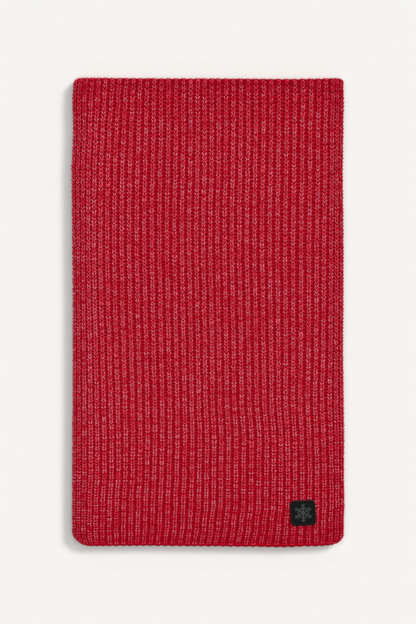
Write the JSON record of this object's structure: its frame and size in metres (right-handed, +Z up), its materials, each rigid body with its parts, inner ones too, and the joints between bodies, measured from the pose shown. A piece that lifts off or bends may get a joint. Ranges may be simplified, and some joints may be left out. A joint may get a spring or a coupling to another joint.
{
  "type": "knit scarf",
  "caption": "Chunky rib-knit scarf, folded twice into a flat rectangle, with a small plain badge near one free end.",
  "frame": {"origin": "on the surface that the folded scarf lies on, under the middle of its outline", "axes": "+X across the cloth to the side that the badge is on, +Y along it from the free ends to the outer fold, +Z up"},
  "size_m": [0.262, 0.4499, 0.018],
  "materials": {
    "knit": "soft marled two-ply yarn, matt with a light fuzz",
    "badge_field": "matt black twill",
    "badge_thread": "black embroidery thread with a slight sheen"
  },
  "bodies": {
    "root": {"front_stretch": "knit", "folded_layers": "knit", "bound_off_edge": "knit", "cast_on_edge": "knit", "badge_patch": "badge_field", "badge_border": "badge_thread"}
  },
  "joints": []
}
